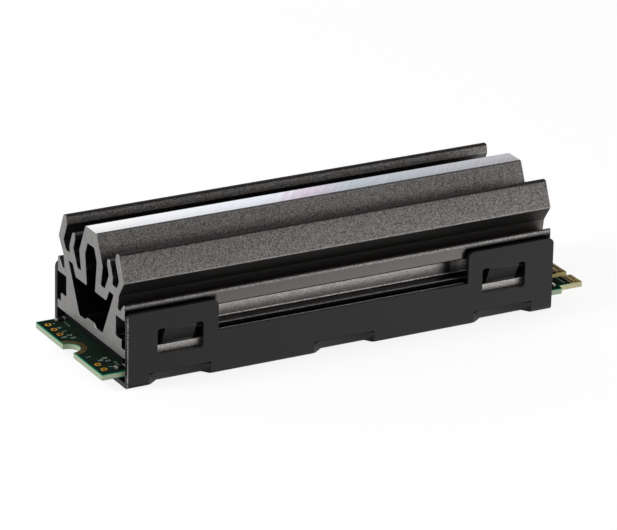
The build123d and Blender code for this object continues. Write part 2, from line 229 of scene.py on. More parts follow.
def makeGrainGroup():
    # blasted or sprayed grain: a coarse and a fine noise give the height; the random value of each cell, with a little
    # of that height, gives a shade about 1
    tree = bpy.data.node_groups.new("grain", "ShaderNodeTree")
    tree.interface.new_socket("Place", in_out="INPUT", socket_type="NodeSocketVector")
    for name, value in (("Size", 0.15), ("Contrast", 0.3)):
        tree.interface.new_socket(name, in_out="INPUT", socket_type="NodeSocketFloat").default_value = value
    for name in ("Height", "Shade"):
        tree.interface.new_socket(name, in_out="OUTPUT", socket_type="NodeSocketFloat")
    inner, outer = tree.nodes.new("NodeGroupInput"), tree.nodes.new("NodeGroupOutput")
    place = Wire(tree, inner.outputs["Place"])
    size = Wire(tree, inner.outputs["Size"])
    frequency = size.join("POWER", -1.0)
    heights = []
    for factor in (1.0, 2.3):
        node = tree.nodes.new("ShaderNodeTexNoise")
        plug(tree, place, node.inputs["Vector"])
        plug(tree, frequency * factor, node.inputs["Scale"])
        node.inputs["Detail"].default_value = 1.0
        heights.append(Wire(tree, node.outputs["Fac"]))
    height = heights[0] * 0.6 + heights[1] * 0.4
    cells = tree.nodes.new("ShaderNodeTexVoronoi")
    plug(tree, place, cells.inputs["Vector"])
    plug(tree, frequency, cells.inputs["Scale"])
    parts = tree.nodes.new("ShaderNodeSeparateXYZ")
    tree.links.new(cells.outputs["Color"], parts.inputs[0])
    spread = Wire(tree, parts.outputs["X"]) * 0.85 + height.between(0.3, 0.7) * 0.15 - 0.5
    shade = spread * Wire(tree, inner.outputs["Contrast"]) + 1.0
    tree.links.new(height.socket, outer.inputs["Height"])
    tree.links.new(shade.socket, outer.inputs["Shade"])
    return tree


grainGroup = makeGrainGroup()


def grain(tree, place, size, contrast):
    node = tree.nodes.new("ShaderNodeGroup")
    node.node_tree = grainGroup
    plug(tree, place, node.inputs["Place"])
    node.inputs["Size"].default_value = size
    node.inputs["Contrast"].default_value = contrast
    return Wire(tree, node.outputs["Height"]), Wire(tree, node.outputs["Shade"])


def shaded(tree, colour, shade):
    # a colour times a shade, as a vector sum
    node = tree.nodes.new("ShaderNodeVectorMath")
    node.operation = "SCALE"
    if isinstance(colour, Wire):
        tree.links.new(colour.socket, node.inputs[0])
    else:
        node.inputs[0].default_value = colour
    plug(tree, shade, node.inputs["Scale"])
    return Wire(tree, node.outputs[0])


# mesh helpers


def newPiece(name, points, faceArrays, materials, faceMaterial=None, sharpAngle=30, cornerData=None):
    # points is (n, 3) in millimetres, each face array (m, 3) or (m, 4) of point numbers; corner data is (corners, 3)
    mesh = bpy.data.meshes.new(name)
    mesh.vertices.add(len(points))
    mesh.vertices.foreach_set("co", np.asarray(points, np.float32).ravel() * mm)
    corners = np.concatenate([np.asarray(faces, np.int32).ravel() for faces in faceArrays])
    totals = np.concatenate([np.full(len(faces), np.shape(faces)[1], np.int32) for faces in faceArrays])
    starts = np.concatenate([[0], np.cumsum(totals)[:-1]]).astype(np.int32)
    mesh.loops.add(len(corners))
    mesh.loops.foreach_set("vertex_index", corners)
    mesh.polygons.add(len(totals))
    mesh.polygons.foreach_set("loop_start", starts)
    if faceMaterial is not None:
        mesh.polygons.foreach_set("material_index", np.asarray(faceMaterial, np.int32))
    mesh.update(calc_edges=True)
    mesh.validate()
    for key, values in (cornerData or {}).items():
        layer = mesh.attributes.new(key, "FLOAT_VECTOR", "CORNER")
        layer.data.foreach_set("vector", np.asarray(values, np.float32).ravel())
    for material in materials:
        mesh.materials.append(material)
    mesh.shade_smooth()
    mesh.set_sharp_from_angle(angle=radians(sharpAngle))
    piece = bpy.data.objects.new(name, mesh)
    bpy.context.scene.collection.objects.link(piece)
    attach(piece, "root")
    return piece


def dress(nodeName, material):
    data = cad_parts[nodeName].data
    data.materials.clear()
    data.materials.append(material)


# heatsink

sinkLook = {
    "anodised": (0.188, 0.178, 0.171),
    "bare": (0.43, 0.422, 0.415),
    # bare metal on worn outer edges, which also stands in for a painted highlight along them
    "wearAndHighlight": (0.62, 0.61, 0.60),
    "wearHighlightWidth": 0.10,
    "wearHighlightShare": 0.7,
    "wearHighlightEdge": (0.55, 0.85),    # the grain's heights between which the wear and its painted highlight set in
    "milledTint": (0.176, 0.170, 0.165),
    "grainSize": 0.125,
    "grainContrast": 1.45,
    "grainDepth": 0.03,
    "coarseSize": 0.15,
    "coarseStretch": (0.6, 1.0, 1.0),
    "coarseContrast": 0.4,       # share of the fine grain's contrast
    "coarseDepth": 1.1,
    "streakDepth": 0.12,
    "cloud": (0.12, 0.16, 0.92),     # broad unevenness: its scale, its swing and its least shade
    "sandAndLight": (1.5, 3.9),         # how much lighter the slots' sandy walls are, as painted light, at their foot and at their upper part
    "sandLightEdge": (2.9, 4.4),     # heights above the underside, from one to the other
    "basePaintedLight": 2.6,            # painted light on the base's outer faces
    # painted highlight: a light line along the slots' foot
    "footHighlight": 4.0,
    "groovePaintedShade": (0.2, 0.65),  # painted shade in the groove: the grain's share, and the even part
    "paintedShadeUnder": (0.42, 0.8),  # painted shade on the faces under the fins, at the elbow and at the waist
    "paintedShadeStep": 0.12,          # painted shade on the steps beside the slots
    "paintedShadeTip": 0.4,            # painted shade on the narrow tops of the outer fins
    # painted shade on the crest's sides near their foot, and inside the duct
    "paintedShadeFinFoot": 0.45,
    "paintedShadeDuct": 0.2,
    "lipGrain": 0.12,
    "lipTopHighlight": (1.5, 0.2),   # painted highlight near the lip's top: the grain's share, and the even part
    "lipShadowLine": 0.15,             # painted shade: the dark lines along the lip's top and foot
    "earShadowOnLip": 0.06,            # painted shade on the lip where an ear stands before it
    "earShadowOnSlot": (0.35, 0.12),    # painted shade on the slots behind an ear, and just before the contact end's ears
    "behindEar": (7.3, 8.6),     # along X from an ear's middle
    "beforeEar": ((7.7, 8.4), (8.7, 10.2)),
    "endChamfer": 0.05,
    "endEdge": (-0.015, 0.005),  # the soft edges of the cut ends and of the crest
    "crestEdge": (-0.03, -0.02),
    "crestRagged": 0.03,
    "blastedRoughness": 0.38,
    "milledRoughness": 0.22,
    "endRoughness": 0.5,
    "crestRoughness": 0.16,
    "tipRoughness": 0.8,
    "sawAngle": 24.0,            # degrees, the saw's marks on the cut ends
    "markAngle": -50.0,          # degrees, the cutter's marks over the crest
    "markSlant": 0.8,
    "markDepth": (0.1, 0.55),    # at the screw end and at the contact end
    "markEdge": (0.35, 0.6),     # shares of the length, from one to the other
    "sheenDrift": 0.12,
    # along the crest, painted reflection and sheen: near white at the screw end, a soft violet sheen at the middle,
    # grey from there on
    "crestSheen": [
        (0.0, (0.9, 0.9, 0.9)),
        (0.4, (0.75, 0.78, 0.85)),
        (0.5, (0.6, 0.5, 0.62)),
        (0.6, (0.4, 0.45, 0.5)),
        (1.0, (0.36, 0.35, 0.38)),
    ],
}
# the zones of the section in millimetres, each side a soft edge: above and below are over the underside, beyond and
# within are off the middle
sinkZones = {
    "base": {"below": (1.2, 1.26)},
    "step": {"above": (1.32, 1.38), "below": (2.60, 2.61)},
    "foot": {"above": (2.60, 2.61), "below": (2.72, 2.76), "within": (8.2, 8.3)},
    "slot": {"above": (2.65, 2.8), "below": (5.6, 5.75), "beyond": (7.8, 7.9)},
    "duct": {"above": (1.4, 1.5), "below": (9.0, 9.2), "within": (6.3, 6.5)},
    "milled": {"above": (5.5, 5.6), "beyond": (10.78, 10.82)},
    "lipFoot": {"above": (5.4, 5.5), "below": (6.0, 6.1)},
    "lipSide": {"above": (5.4, 5.5), "below": (8.2, 8.3), "beyond": (10.4, 10.5)},
    "lipOverLine": {"above": (5.88, 5.95)},
    "lipFace": {"below": (7.05, 7.75)},
    "lipTop": {"above": (7.45, 7.7)},
    "lipRim": {"above": (7.8, 8.05)},
    "groove": {"above": (6.5, 6.6), "below": (8.9, 9.2), "beyond": (8.2, 8.4)},
    "underFin": {"above": (8.2, 8.6), "below": (11.1, 11.25), "beyond": (7.6, 7.9)},
    "waist": {"below": (9.3, 11.2)},
    "finFoot": {"above": (9.5, 10.0), "below": (11.9, 14.2), "within": (6.6, 6.9)},
    "tip": {"above": (14.75, 15.0), "beyond": (6.0, 6.2)},
    "crown": {"above": (14.0, 14.2), "beyond": (5.0, 5.2)},
}
sinkLow, sinkHigh = (np.array(corner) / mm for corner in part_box("heatsink"))
clipMiddle, clipReach, clipHalf = -1.45, 27.78, (7.0, 7.5)   # where the tray's ears stand along X


def zoneMask(z, aside, low, zone):
    # 1 in the zone and 0 outside it: the product of its soft edges
    mask = None
    for wire, start, key in ((z, low, "above"), (z, low, "below"), (aside, 0.0, "beyond"), (aside, 0.0, "within")):
        if key in zone:
            edge = wire.between(start + zone[key][0], start + zone[key][1])
            edge = edge.flip() if key in ("below", "within") else edge
            mask = edge if mask is None else mask * edge
    return mask


def makeSinkMaterial(look, zones):
    # anodised over a blasted grain, worn along its outer corners, bare where it was cut and milled; painted light on
    # the base and the slot walls, painted highlights along its edges and lip, painted shade in its recesses and behind
    # the ears
    material, tree, shader = startMaterial("anodisedSink", Metallic=1.0)
    place, (x, y, z) = millimetres(tree)
    contrast = look["grainContrast"]
    height, shade = grain(tree, place, look["grainSize"], contrast)
    drawnOut = stretched(tree, place, look["coarseStretch"])
    coarse, coarseShade = grain(tree, drawnOut, look["coarseSize"], contrast * look["coarseContrast"])
    start, length = float(sinkLow[0]), float(sinkHigh[0] - sinkLow[0])
    low, high = float(sinkLow[2]), float(sinkHigh[2])
    aside = abs(y)
    inZone = {name: zoneMask(z, aside, low, zone) for name, zone in zones.items()}
    flatEnd = length / 2 - look["endChamfer"]
    atEnd = abs(x - (start + length / 2)).between(*(flatEnd + edge for edge in look["endEdge"]))
    ragged = noise(tree, place, 4.0, 2.0)
    onCrest = (z + ragged * look["crestRagged"]).between(*(high + edge for edge in look["crestEdge"]))

    # painted shadow of the tray's ears on the slots: darker behind each ear, and a darker band beside the ears at the
    # contact end
    fromEar = abs(abs(x - clipMiddle) - clipReach)
    atEar = fromEar.between(*clipHalf).flip()
    behindEar, beforeEar = look["earShadowOnSlot"]
    slotShade = mixValue(tree, fromEar.between(*look["behindEar"]), behindEar, 1.0)
    nearEdge, farEdge = look["beforeEar"]
    besideEar = fromEar.between(*nearEdge) * fromEar.between(*farEdge).flip() * x.between(0, 1)
    slotShade = mixValue(tree, besideEar, slotShade, beforeEar)
    # painted light on the slot walls, rising from their foot to their upper part, over their sandy grain
    sandAndLightShade = coarseShade * mixValue(tree, z.between(*(low + edge for edge in look["sandLightEdge"])), *look["sandAndLight"])
    cloudScale, cloudSwing, cloudLeast = look["cloud"]
    cloud = noise(tree, place, cloudScale, 2.0) * cloudSwing + cloudLeast
    grooveGrain, grooveEven = look["groovePaintedShade"]
    grainLightAndShade = mixValue(tree, inZone["slot"], shade, sandAndLightShade * slotShade)
    # painted light and shade by zone over the grain: lighter base and a light line at the slots' foot; darker groove,
    # fin undersides, steps, fin tops, crest foot and duct
    for name, tone in (
        ("base", (shade + coarseShade) * (look["basePaintedLight"] / 2)),
        ("foot", shade * look["footHighlight"]),
        ("groove", shade * grooveGrain + grooveEven),
        ("underFin", mixValue(tree, inZone["waist"], *look["paintedShadeUnder"])),
        ("step", look["paintedShadeStep"]),
        ("tip", shade * look["paintedShadeTip"]),
        ("finFoot", shade * look["paintedShadeFinFoot"]),
        ("duct", look["paintedShadeDuct"]),
    ):
        grainLightAndShade = mixValue(tree, inZone[name], grainLightAndShade, tone)

    # the lip: flat grey; painted shade in a dark line along its lower edge and its very top and behind each ear, and a
    # painted highlight in a broad speckled line along its top edge
    topGrain, topEven = look["lipTopHighlight"]
    lipShade = (shade - 1.0) * look["lipGrain"] + mixValue(tree, inZone["lipTop"], 1.0, shade * topGrain + topEven)
    lipShade = lipShade * mixValue(tree, inZone["lipRim"], 1.0, look["lipShadowLine"])
    lipShade = lipShade * mixValue(tree, atEar * inZone["lipFace"], 1.0, look["earShadowOnLip"])
    lipShade = lipShade * mixValue(tree, inZone["lipOverLine"], look["lipShadowLine"], 1.0)
    skin = shaded(tree, look["anodised"], grainLightAndShade * cloud)
    skin = mixColour(tree, inZone["milled"], skin, shaded(tree, look["milledTint"], lipShade))

    # worn, with a painted highlight, where a long edge turns outward, apart from the lip's foot and sides, the crown
    # and the duct, which are left plain
    across, faceWidth = attribute(tree, "across")[:2]
    startTurn, endTurn = attribute(tree, "turn")[:2]
    wearHighlightWidth = look["wearHighlightWidth"]
    edgeWearAndHighlight = across.between(0.0, wearHighlightWidth).flip() * startTurn
    edgeWearAndHighlight = edgeWearAndHighlight.most((faceWidth - across).between(0.0, wearHighlightWidth).flip() * endTurn)
    edgesLeftPlain = inZone["lipFoot"]
    for name in ("crown", "duct", "lipSide"):
        edgesLeftPlain = edgesLeftPlain.most(inZone[name])
    chippedWearAndHighlight = edgeWearAndHighlight * (height + ragged * 0.5).between(*look["wearHighlightEdge"]) * edgesLeftPlain.flip()
    skin = mixColour(tree, chippedWearAndHighlight * look["wearHighlightShare"], skin, look["wearAndHighlight"])

    # the cut ends: a fine noise and the saw's marks, as a shade about 1
    sawn = stretched(tree, turnedBy(tree, place, "X_AXIS", look["sawAngle"]), (1.0, 9.0, 0.7))
    sawMarks = noise(tree, sawn, 1.0, 3.0, 0.7).between(0.35, 0.7)
    cutShade = noise(tree, place, 8.0, 3.0, 0.7).between(0.3, 0.7) * 0.3 + sawMarks * 0.3 + 0.72
    colour = mixColour(tree, atEnd, skin, shaded(tree, look["bare"], cutShade))

    # the crest: its painted reflection and sheen run aslant along it, and the cutter's marks grow deeper towards the
    # contact end
    turned = turnedBy(tree, place, "Z_AXIS", look["markAngle"])
    drift = noise(tree, stretched(tree, turned, (0.08, 0.8, 0.1)), 1.0, 2.0, 0.5)
    slant = (x - y * look["markSlant"] - start) * (1 / length)
    paintedSheen = ramp(tree, slant + (drift - 0.5) * look["sheenDrift"], look["crestSheen"])
    cutterMarks = noise(tree, stretched(tree, turned, (0.2, 3.4, 1.0)), 1.0, 2.0, 0.8)
    along = (x - start) * (1 / length)
    marked = mixValue(tree, along.between(*look["markEdge"]), *look["markDepth"])
    colour = mixColour(tree, onCrest, colour, shaded(tree, paintedSheen, (cutterMarks - 0.5) * marked + 1.0))
    plug(tree, colour, shader.inputs["Base Color"])

    rough = look["blastedRoughness"]
    for mask, level in (
        (inZone["milled"], "milledRoughness"),
        (inZone["tip"], "tipRoughness"),
        (atEnd, "endRoughness"),
        (onCrest, "crestRoughness"),
    ):
        rough = mixValue(tree, mask, rough, look[level])
    plug(tree, rough, shader.inputs["Roughness"])
    streaks = noise(tree, stretched(tree, place, (0.35, 9.0, 9.0)), 1.0, 3.0, 0.6)
    relief = mixValue(tree, inZone["slot"].most(inZone["base"]), height, coarse * look["coarseDepth"])
    bareMetal = inZone["milled"].most(onCrest).most(atEnd)
    addBump(tree, shader, mixValue(tree, bareMetal, relief, streaks * look["streakDepth"]), look["grainDepth"])
    return material


def cutEnd(nodeName):
    # the flat end of an extruded node: its points in Y and Z, its triangles, and the rim edges with the way out of each
    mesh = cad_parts[nodeName].data
    points = np.empty(len(mesh.vertices) * 3, np.float32)
    mesh.vertices.foreach_get("co", points)
    points = points.reshape(-1, 3).astype(float) / mm
    mesh.calc_loop_triangles()
    triangles = np.empty(len(mesh.loop_triangles) * 3, np.int32)
    mesh.loop_triangles.foreach_get("vertices", triangles)
    triangles = triangles.reshape(-1, 3)
    flat = triangles[(points[triangles][:, :, 0] < points[:, 0].min() + 1e-3).all(1)]
    steps = np.round(points[flat.ravel()][:, 1:] / 1e-4).astype(np.int64)
    keys, inverse = np.unique(steps, axis=0, return_inverse=True)
    section, faces = keys * 1e-4, inverse.reshape(-1, 3)
    edges = np.concatenate([faces[:, [0, 1]], faces[:, [1, 2]], faces[:, [2, 0]]])
    inside = np.concatenate([faces[:, 2], faces[:, 0], faces[:, 1]])
    count = len(section)
    onRim = ~np.isin(edges[:, 0] * count + edges[:, 1], edges[:, 1] * count + edges[:, 0])
    edges, inside = edges[onRim], inside[onRim]
    run = section[edges[:, 1]] - section[edges[:, 0]]
    run /= np.linalg.norm(run, axis=1)[:, None]
    out = np.stack([run[:, 1], -run[:, 0]], 1)
    towards = ((section[inside] - section[edges[:, 0]]) * out).sum(1)
    out[towards > 0] *= -1
    # how far the rim turns outward at each point: the sine of the turn is minus the next run along this edge's way out
    turn = np.zeros(count)
    following = np.empty(count, int)
    following[edges[:, 0]] = np.arange(len(edges))
    turn[edges[:, 1]] = -(run[following[edges[:, 1]]] * out).sum(1)
    return section, faces, edges, out, turn


def makeSink():
    # the section of the node's end carried along X, with every rim drawn in a little at both ends
    section, faces, edges, out, turn = cutEnd("heatsink")
    away = np.zeros_like(section)
    for column in (0, 1):
        np.add.at(away, edges[:, column], out)
    length = np.linalg.norm(away, axis=1)
    rim = length > 1e-6
    away[rim] /= (length[rim] ** 2 / 2)[:, None]
    chamfer = sinkLook["endChamfer"]
    stations = [
        (sinkLow[0], chamfer),
        (sinkLow[0] + chamfer, 0.0),
        (sinkHigh[0] - chamfer, 0.0),
        (sinkHigh[0], chamfer),
    ]
    rings = [np.column_stack([np.full(len(section), x), section - away * inset]) for x, inset in stations]
    count = len(section)
    sides = []
    for ring in range(len(stations) - 1):
        near, far = edges + ring * count, edges + (ring + 1) * count
        sides.append(np.column_stack([near[:, 1], near[:, 0], far[:, 0], far[:, 1]]))
    farCap = faces[:, ::-1] + (len(stations) - 1) * count
    # on each side face: how far a corner lies across it and how wide it is, and how sharply its two long edges turn
    width = np.linalg.norm(section[edges[:, 1]] - section[edges[:, 0]], axis=1)
    across = np.stack([np.outer(width, (1, 0, 0, 1)), np.outer(width, (1, 1, 1, 1)), np.zeros((len(edges), 4))], 2)
    sharp = np.clip(turn / np.sin(radians(12)), 0, 1)
    perEdge = np.column_stack([sharp[edges[:, 0]], sharp[edges[:, 1]], np.zeros(len(edges))])
    turns = np.repeat(perEdge[:, None], 4, axis=1)
    capCorners = 2 * faces.size
    cornerData = {
        "across": np.concatenate([np.full((capCorners, 3), 9.0), np.tile(across.reshape(-1, 3), (len(sides), 1))]),
        "turn": np.concatenate([np.zeros((capCorners, 3)), np.tile(turns.reshape(-1, 3), (len(sides), 1))]),
    }
    points, materials = np.concatenate(rings), [makeSinkMaterial(sinkLook, sinkZones)]
    allFaces = [faces, farCap, *sides]
    piece = newPiece("heatsinkBody", points, allFaces, materials, cornerData=cornerData)
    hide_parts("heatsink")


makeSink()
print("heatsink made")

# tray

trayLook = {
    "coat": (0.012, 0.012, 0.0125),
    "bareEdgeHighlight": (0.95, 0.93, 0.88),
    "bareFleck": (0.3, 0.6),
    # the light lines, bare metal with a painted highlight, lie between soft edges in millimetres: off the middle, over
    # the rail's top, along X from the middle of the rail, and along X from the screw end
    "railTop": 6.57,
    "railInside": (11.32, 11.36),
    "railLine": ((-0.02, -0.01), (0.05, 0.06)),
    "railReach": (20.0, 20.1),
    "endOutside": (11.78, 11.82),
    "endLine": ((0.01, 0.03), (0.10, 0.13)),
    "roughness": 0.40,
    "sheen": 0.42,
    "edgeRound": 0.06,
    "grainSize": 0.22,
    "grainDepth": 0.004,
}
trayStart = float(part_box("retaining_tray")[0][0] / mm)


def roundedCopy(nodeName, pieceName, width, materials):
    # a copy of a node's mesh, joined up, with its flat faces whole and its sharp edges rounded
    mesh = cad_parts[nodeName].data.copy()
    mesh.name = pieceName
    shape = bmesh.new()
    shape.from_mesh(mesh)
    bmesh.ops.remove_doubles(shape, verts=shape.verts, dist=2e-6)
    bmesh.ops.dissolve_limit(shape, angle_limit=radians(0.5), verts=shape.verts, edges=shape.edges)
    shape.to_mesh(mesh)
    shape.free()
    mesh.materials.clear()
    for material in materials:
        mesh.materials.append(material)
    mesh.shade_smooth()
    piece = bpy.data.objects.new(pieceName, mesh)
    bpy.context.scene.collection.objects.link(piece)
    bevel = piece.modifiers.new("edges", "BEVEL")
    bevel.width, bevel.segments = width * mm, 2
    bevel.limit_method, bevel.angle_limit = "ANGLE", radians(35)
    flatten = piece.modifiers.new("flat", "WEIGHTED_NORMAL")
    flatten.mode, flatten.weight = "FACE_AREA", 100
    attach(piece, "root")
    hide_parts(nodeName)


def makeTrayMaterial(look):
    material, tree, shader = startMaterial("blackCoat", Roughness=look["roughness"], Specular_IOR_Level=look["sheen"])
    place, (x, y, z) = millimetres(tree)
    height, shade = grain(tree, place, look["grainSize"], 0.25)
    cloud = noise(tree, place, 0.15, 2.0) * 0.2 + 0.9
    coat = shaded(tree, look["coat"], shade * cloud)
    # thin light lines, bare metal where the sheet was sheared and a painted highlight: the rails' inner top edge
    # and the outer edge of the screw end
    aside, rise, fromEnd = abs(y), z - look["railTop"], x - trayStart
    lineFoot, lineTop = look["railLine"]
    railEdge = aside.between(*look["railInside"]).flip() * rise.between(*lineFoot) * rise.between(*lineTop).flip()
    railEdge = railEdge * abs(x - clipMiddle).between(*look["railReach"]).flip()
    lineStart, lineEnd = look["endLine"]
    endEdge = aside.between(*look["endOutside"]) * fromEnd.between(*lineStart) * fromEnd.between(*lineEnd).flip()
    bare = railEdge.most(endEdge) * noise(tree, place, 5.0, 2.0).between(*look["bareFleck"])
    plug(tree, mixColour(tree, bare, coat, look["bareEdgeHighlight"]), shader.inputs["Base Color"])
    addBump(tree, shader, height, look["grainDepth"])
    return material


roundedCopy("retaining_tray", "trayShell", trayLook["edgeRound"], [makeTrayMaterial(trayLook)])
print("tray made")

def makePlainMaterial(name, colour, roughness, metallic=0.0, grainSize=0.12, contrast=0.25, depth=0.004, gloss=0.5,
                      dull=None):
    # one finish with its own fine grain; dull is a second colour, the noise's stretch and the levels it sets in between
    sockets = {"Roughness": roughness, "Metallic": metallic, "Specular_IOR_Level": gloss}
    material, tree, shader = startMaterial(name, **sockets)
    place = millimetres(tree)[0]
    height, shade = grain(tree, place, grainSize, contrast)
    skin = shaded(tree, colour, shade)
    if dull:
        second, stretch, levels = dull
        skin = mixColour(tree, noise(tree, stretched(tree, place, stretch), 1.0, 2.0).between(*levels), skin, second)
    plug(tree, skin, shader.inputs["Base Color"])
    addBump(tree, shader, height, depth)
    return material


# card

cardLook = {
    "mask": (0.018, 0.027, 0.020),
    "maskLight": (0.021, 0.042, 0.029),
    "trace": (0.022, 0.065, 0.042),
    "rim": (0.01, 0.42, 0.22),
    "laminate": (0.64, 0.73, 0.55),
    "tongueEdge": (0.58, 0.50, 0.22),
    "outerEdge": (0.97, 0.92, 0.56),
    "layerLine": (0.42, 0.50, 0.30),
    "stain": (0.55, 0.50, 0.22),
    "gap": (0.025, 0.016, 0.007),
    "bareTongue": (0.62, 0.50, 0.22),
    "contactsEnd": (9.46, 39.93, -6.125, 0.92),  # their outermost places across and along, and the key with its margin
    "rimWidth": 0.15,
    "notchRadius": 1.75,
    "shoulder": 9.925,       # half the tongue's width, and where it starts and the mask ends along X
    "tongueStart": 36.0,
    "maskEnd": 38.2,
    "outerEdgeEnd": (-6.8, -6.7),    # along Y, where the tongue's paler end face gives way to its darker one
    "faceEdge": (-0.012, -0.006),
    "greenEdge": (-0.09, -0.06),     # where the mask laps over the edges
    "weaveScale": 2.2,
    "trackPitch": 2.6,               # tracks per millimetre, as they wander
    "trackWander": 4.0,
    "layers": 5.0,                   # laminate layers per millimetre
    "roughness": (0.7, 0.35),        # the cut edges, and the mask
}
cardLow, cardHigh = (np.array(corner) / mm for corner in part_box("circuit_board"))


def makeCardMaterial(look):
    # green mask on both faces, brighter along the rim where no copper lies under it, pale laminate on the edges
    material, tree, shader = startMaterial("cardMask", Specular_IOR_Level=0.0)
    place, (x, y, z) = millimetres(tree)
    middle = float(cardLow[2] + cardHigh[2]) / 2
    half = float(cardHigh[2] - cardLow[2]) / 2
    fromMiddle, aside = abs(z - middle), abs(y)
    onFace = fromMiddle.between(*(half + edge for edge in look["faceEdge"]))
    onTongue = x.between(look["tongueStart"], look["tongueStart"] + 0.01)

    def band(distance):
        return distance.between(look["rimWidth"] - 0.03, look["rimWidth"] + 0.03).flip()

    fromNotch = ((x - float(cardLow[0])) * (x - float(cardLow[0])) + y * y).join("SQRT") - look["notchRadius"]
    fromSide = aside.flip() + float(cardHigh[1]) - 1.0
    fromShoulder = (x.flip() + look["tongueStart"] - 1.0).most(aside.flip() + look["shoulder"] - 1.0)
    rim = band(fromNotch).most(band(fromSide)).most(band(x - float(cardLow[0])))
    rim = rim.most(band(fromShoulder) * aside.between(look["shoulder"] - 0.2, look["shoulder"] - 0.15))
    weave = noise(tree, stretched(tree, place, (1.0, 1.0, 0.2)), look["weaveScale"], 2.0)
    mask = mixColour(tree, weave.between(0.35, 0.65) * 0.6, look["mask"], look["maskLight"])
    wander = noise(tree, stretched(tree, place, (0.2, 0.35, 0.0)), 1.0, 0.0) * look["trackWander"]
    tracks = abs((x * look["trackPitch"] + wander).join("FRACT") - 0.5).between(0.36, 0.42)
    mask = mixColour(tree, tracks * noise(tree, place, 0.5, 1.0).between(0.4, 0.55), mask, look["trace"])
    face = mixColour(tree, rim, mask, look["rim"])
    bareTongue = x.between(look["maskEnd"] - 0.03, look["maskEnd"] + 0.03)
    outermost, foremost, key, keyMargin = look["contactsEnd"]
    among = aside.between(outermost, outermost + 0.03).flip() * x.between(foremost, foremost + 0.03).flip()
    among = among * abs(y - key).between(keyMargin, keyMargin + 0.03)
    face = mixColour(tree, bareTongue, face, mixColour(tree, among, look["bareTongue"], look["gap"]))
    layers = abs((z * look["layers"]).join("FRACT") - 0.5).between(0.36, 0.46)
    fibres = noise(tree, stretched(tree, place, (2.0, 2.0, 14.0)), 1.5, 3.0)
    edge = mixColour(tree, y.between(*look["outerEdgeEnd"]), look["outerEdge"], look["tongueEdge"])
    edge = mixColour(tree, onTongue, look["laminate"], edge)
    edge = mixColour(tree, layers * 0.45, edge, look["layerLine"])
    edge = mixColour(tree, fibres.between(0.45, 0.75) * 0.5, edge, look["stain"])
    lapped = fromMiddle.between(*(half + green for green in look["greenEdge"])) * onTongue.flip()
    edge = mixColour(tree, lapped, edge, look["rim"])
    plug(tree, mixColour(tree, onFace, edge, face), shader.inputs["Base Color"])
    plug(tree, mixValue(tree, onFace, *look["roughness"]), shader.inputs["Roughness"])
    addBump(tree, shader, weave + tracks * 0.3, 0.01, 0.5)
    return material


def revolved(centres, profile, around):
    # point (i, j) of each ring lies at radius profile[i] in direction 2 pi j / around; the profile closes on itself
    turn = np.arange(around) * 2 * np.pi / around
    radius, height = np.array(profile).T
    spread = [np.outer(radius, np.cos(turn)), np.outer(radius, np.sin(turn)), np.outer(height, np.ones(around))]
    ring = np.stack(spread, 2)
    points = ring[None] + np.column_stack([centres, np.zeros(len(centres))])[:, None, None]
    row, column = np.meshgrid(np.arange(len(profile)), np.arange(around), indexing="ij")
    nextRow, nextColumn = (row + 1) % len(profile), (column + 1) % around
    pairs = ((row, column), (row, nextColumn), (nextRow, nextColumn), (nextRow, column))
    faces = np.stack([(a * around + b).ravel() for a, b in pairs], 1)
    faces = (faces[None] + (np.arange(len(centres)) * len(profile) * around)[:, None, None]).reshape(-1, 4)
    return points.reshape(-1, 3), faces


def solidBoxes(nodeName):
    # the low and high corners of each separate solid of a node, found by passing the least point number along its edges
    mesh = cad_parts[nodeName].data
    points = np.empty(len(mesh.vertices) * 3, np.float32)
    mesh.vertices.foreach_get("co", points)
    points = points.reshape(-1, 3).astype(float) / mm
    edges = np.empty(len(mesh.edges) * 2, np.int32)
    mesh.edges.foreach_get("vertices", edges)
    keys, inverse = np.unique(np.round(points / 1e-3).astype(np.int64), axis=0, return_inverse=True)
    first, second = inverse.reshape(-1)[edges.reshape(-1, 2)].T
    label = np.arange(len(keys))
    for sweep in range(64):
        least = np.minimum(label[first], label[second])
        np.minimum.at(label, first, least)
        np.minimum.at(label, second, least)
    owners = np.unique(label)
    spots = keys * 1e-3
    return np.array([[spots[label == owner].min(0), spots[label == owner].max(0)] for owner in owners])


chipLook = {
    "round": 0.06,
    "terminal": 0.19,        # share of the length at each end
    "sunk": 0.03,            # how far the body lies below its terminals
    "around": 20,            # points round the section
    "squareness": 0.25,
    "ceramic": (0.022, 0.016, 0.012),
    "tin": (0.72, 0.72, 0.70),
}


